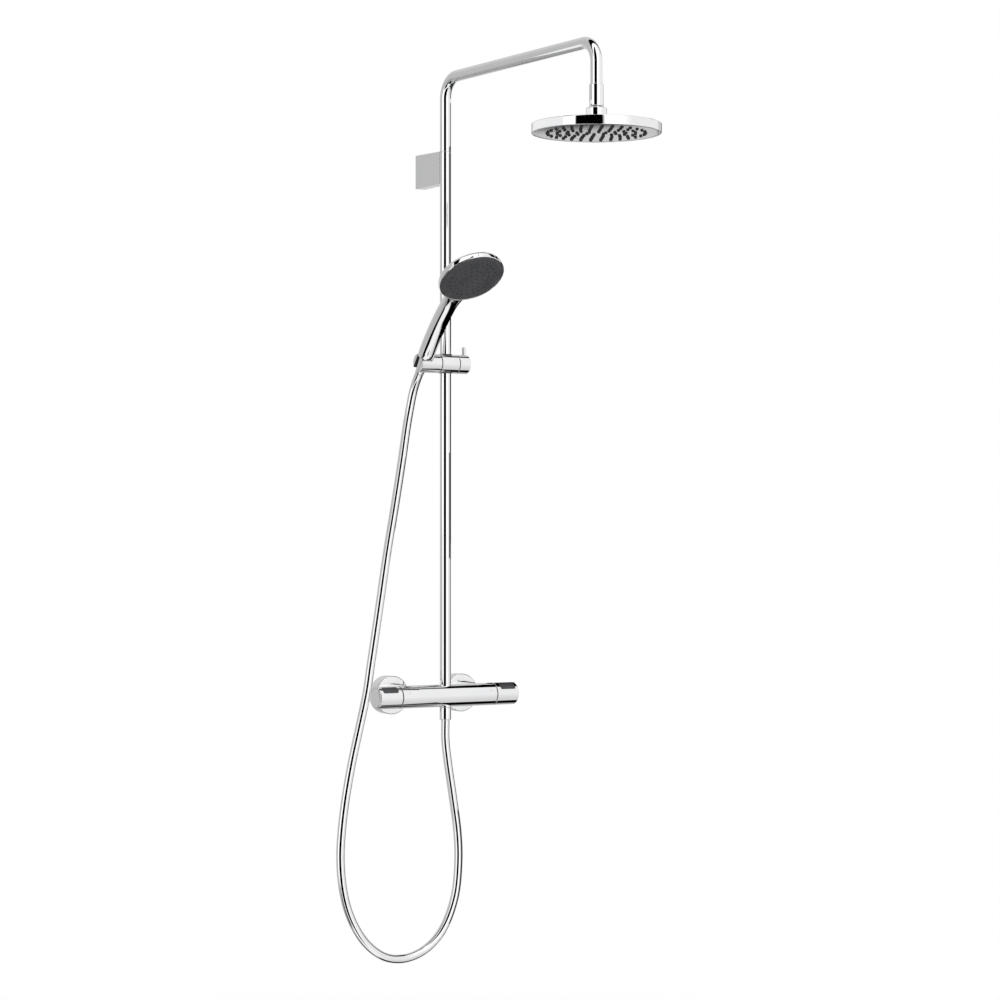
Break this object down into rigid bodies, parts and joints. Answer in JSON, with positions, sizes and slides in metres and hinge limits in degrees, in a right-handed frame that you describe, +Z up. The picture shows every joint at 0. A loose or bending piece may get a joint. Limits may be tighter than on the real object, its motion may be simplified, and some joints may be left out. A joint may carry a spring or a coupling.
{
  "type": "shower column",
  "caption": "Wall shower column: thermostatic bar mixer, riser with an overhead rain head on a bent arm, and a hand shower on a sliding, tilting holder with its hose.",
  "frame": {"origin": "centre of the wall bracket's back face, on the wall plane, level with the foot of the overhead arm", "axes": "+Z up along the riser, +Y into the wall, so -Y points into the room, and +X to the right for a person who faces the shower"},
  "size_m": [0.3757, 0.678, 1.6179],
  "materials": {
    "chrome": "polished chrome plate",
    "chromed_plastic": "polished chrome plate on moulded plastic",
    "brass": "turned",
    "dark_plastic": "satin anthracite moulded plastic",
    "seal_rubber": "matt",
    "steel": "satin stainless",
    "white_plastic": "moulded"
  },
  "bodies": {
    "root": {"wall_plate": "steel", "wall_bracket_cover": "chrome", "bracket_core": "steel", "cover_grub_screw": "steel", "riser_tube": "chrome", "arm_tube": "chrome", "joint_spigot": "brass", "spigot_o_ring_lower": "seal_rubber", "spigot_o_ring_upper": "seal_rubber", "riser_nipple": "brass", "arm_end_collar": "chrome", "ball_stud": "brass", "mixer_body": "chrome", "temperature_cartridge": "brass", "flow_cartridge": "brass", "temperature_stop_ring": "dark_plastic", "flow_stop_ring": "dark_plastic", "check_valve_left": "white_plastic", "check_valve_right": "white_plastic", "inlet_washer_left": "seal_rubber", "inlet_washer_right": "seal_rubber", "wall_union_left": "brass", "wall_union_right": "brass", "union_nut_left": "chrome", "union_nut_right": "chrome", "wall_rose_left": "chrome", "wall_rose_right": "chrome", "hose_nut": "chrome", "outlet_nipple": "brass", "outlet_washer": "seal_rubber", "shower_hose": "steel"},
    "head_seat": {"ball_seat_ring": "white_plastic"},
    "rain_head": {"ball_socket_nut": "chrome", "rain_head_cover": "chrome", "rain_head_face": "steel", "rain_head_nozzle_mat": "seal_rubber", "rain_head_spreader": "white_plastic"},
    "slider": {"slider_body": "chrome", "slider_bush": "white_plastic", "knob_washer": "dark_plastic", "holder_bolt": "steel", "holder_washer": "dark_plastic"},
    "clamp": {"clamp_knob": "chrome", "clamp_screw": "steel", "clamp_lever": "chrome"},
    "holder": {"handset_holder": "chrome"},
    "handset": {"handset_shell": "chromed_plastic", "handset_face": "dark_plastic", "handset_nozzle_mat": "seal_rubber", "handset_spreader": "white_plastic", "handset_connector": "brass", "hose_cone_nut": "chrome"},
    "temperature_handle": {"temperature_handle": "chrome", "temperature_handle_screw": "steel", "temperature_cap": "chrome"},
    "temperature_button": {"temperature_button": "dark_plastic"},
    "flow_handle": {"flow_handle": "chrome", "flow_handle_screw": "steel", "flow_cap": "chrome"},
    "flow_button": {"flow_button": "dark_plastic"}
  },
  "joints": [
    {"name": "head_tilt_x", "type": "hinge", "parent": "root", "child": "head_seat", "pos_m": [0, -0.568, 0.035], "axis": [1, 0, 0], "range_deg": [-8, 8]},
    {"name": "head_tilt_y", "type": "hinge", "parent": "head_seat", "child": "rain_head", "pos_m": [0, -0.568, 0.035], "axis": [0, 1, 0], "range_deg": [-8, 8]},
    {"name": "slider_height", "type": "slide", "parent": "root", "child": "slider", "axis": [0, 0, 1], "range_m": [-0.2, 0.17], "deforming": ["shower_hose"]},
    {"name": "clamp_turn", "type": "hinge", "parent": "slider", "child": "clamp", "pos_m": [0, -0.088, -0.3593], "axis": [1, 0, 0], "range_deg": [0, 90]},
    {"name": "holder_tilt", "type": "hinge", "parent": "slider", "child": "holder", "pos_m": [0, -0.088, -0.3593], "axis": [1, 0, 0], "range_deg": [-30, 20]},
    {"name": "handset_lift", "type": "slide", "parent": "holder", "child": "handset", "axis": [0, -0.5878, 0.809], "range_m": [0, 0.06]},
    {"name": "temperature_turn", "type": "hinge", "parent": "root", "child": "temperature_handle", "pos_m": [0, -0.088, -0.965], "axis": [1, 0, 0], "range_deg": [-150, 40]},
    {"name": "temperature_press", "type": "slide", "parent": "temperature_handle", "child": "temperature_button", "axis": [0, 0.682, -0.7314], "range_m": [0, 0.0015], "stiffness_N_per_m": 600, "springref_m": -0.0008},
    {"name": "flow_turn", "type": "hinge", "parent": "root", "child": "flow_handle", "pos_m": [0, -0.088, -0.965], "axis": [1, 0, 0], "range_deg": [-90, 90]},
    {"name": "flow_press", "type": "slide", "parent": "flow_handle", "child": "flow_button", "axis": [0, 0.682, -0.7314], "range_m": [0, 0.0015], "stiffness_N_per_m": 600, "springref_m": -0.0008}
  ]
}
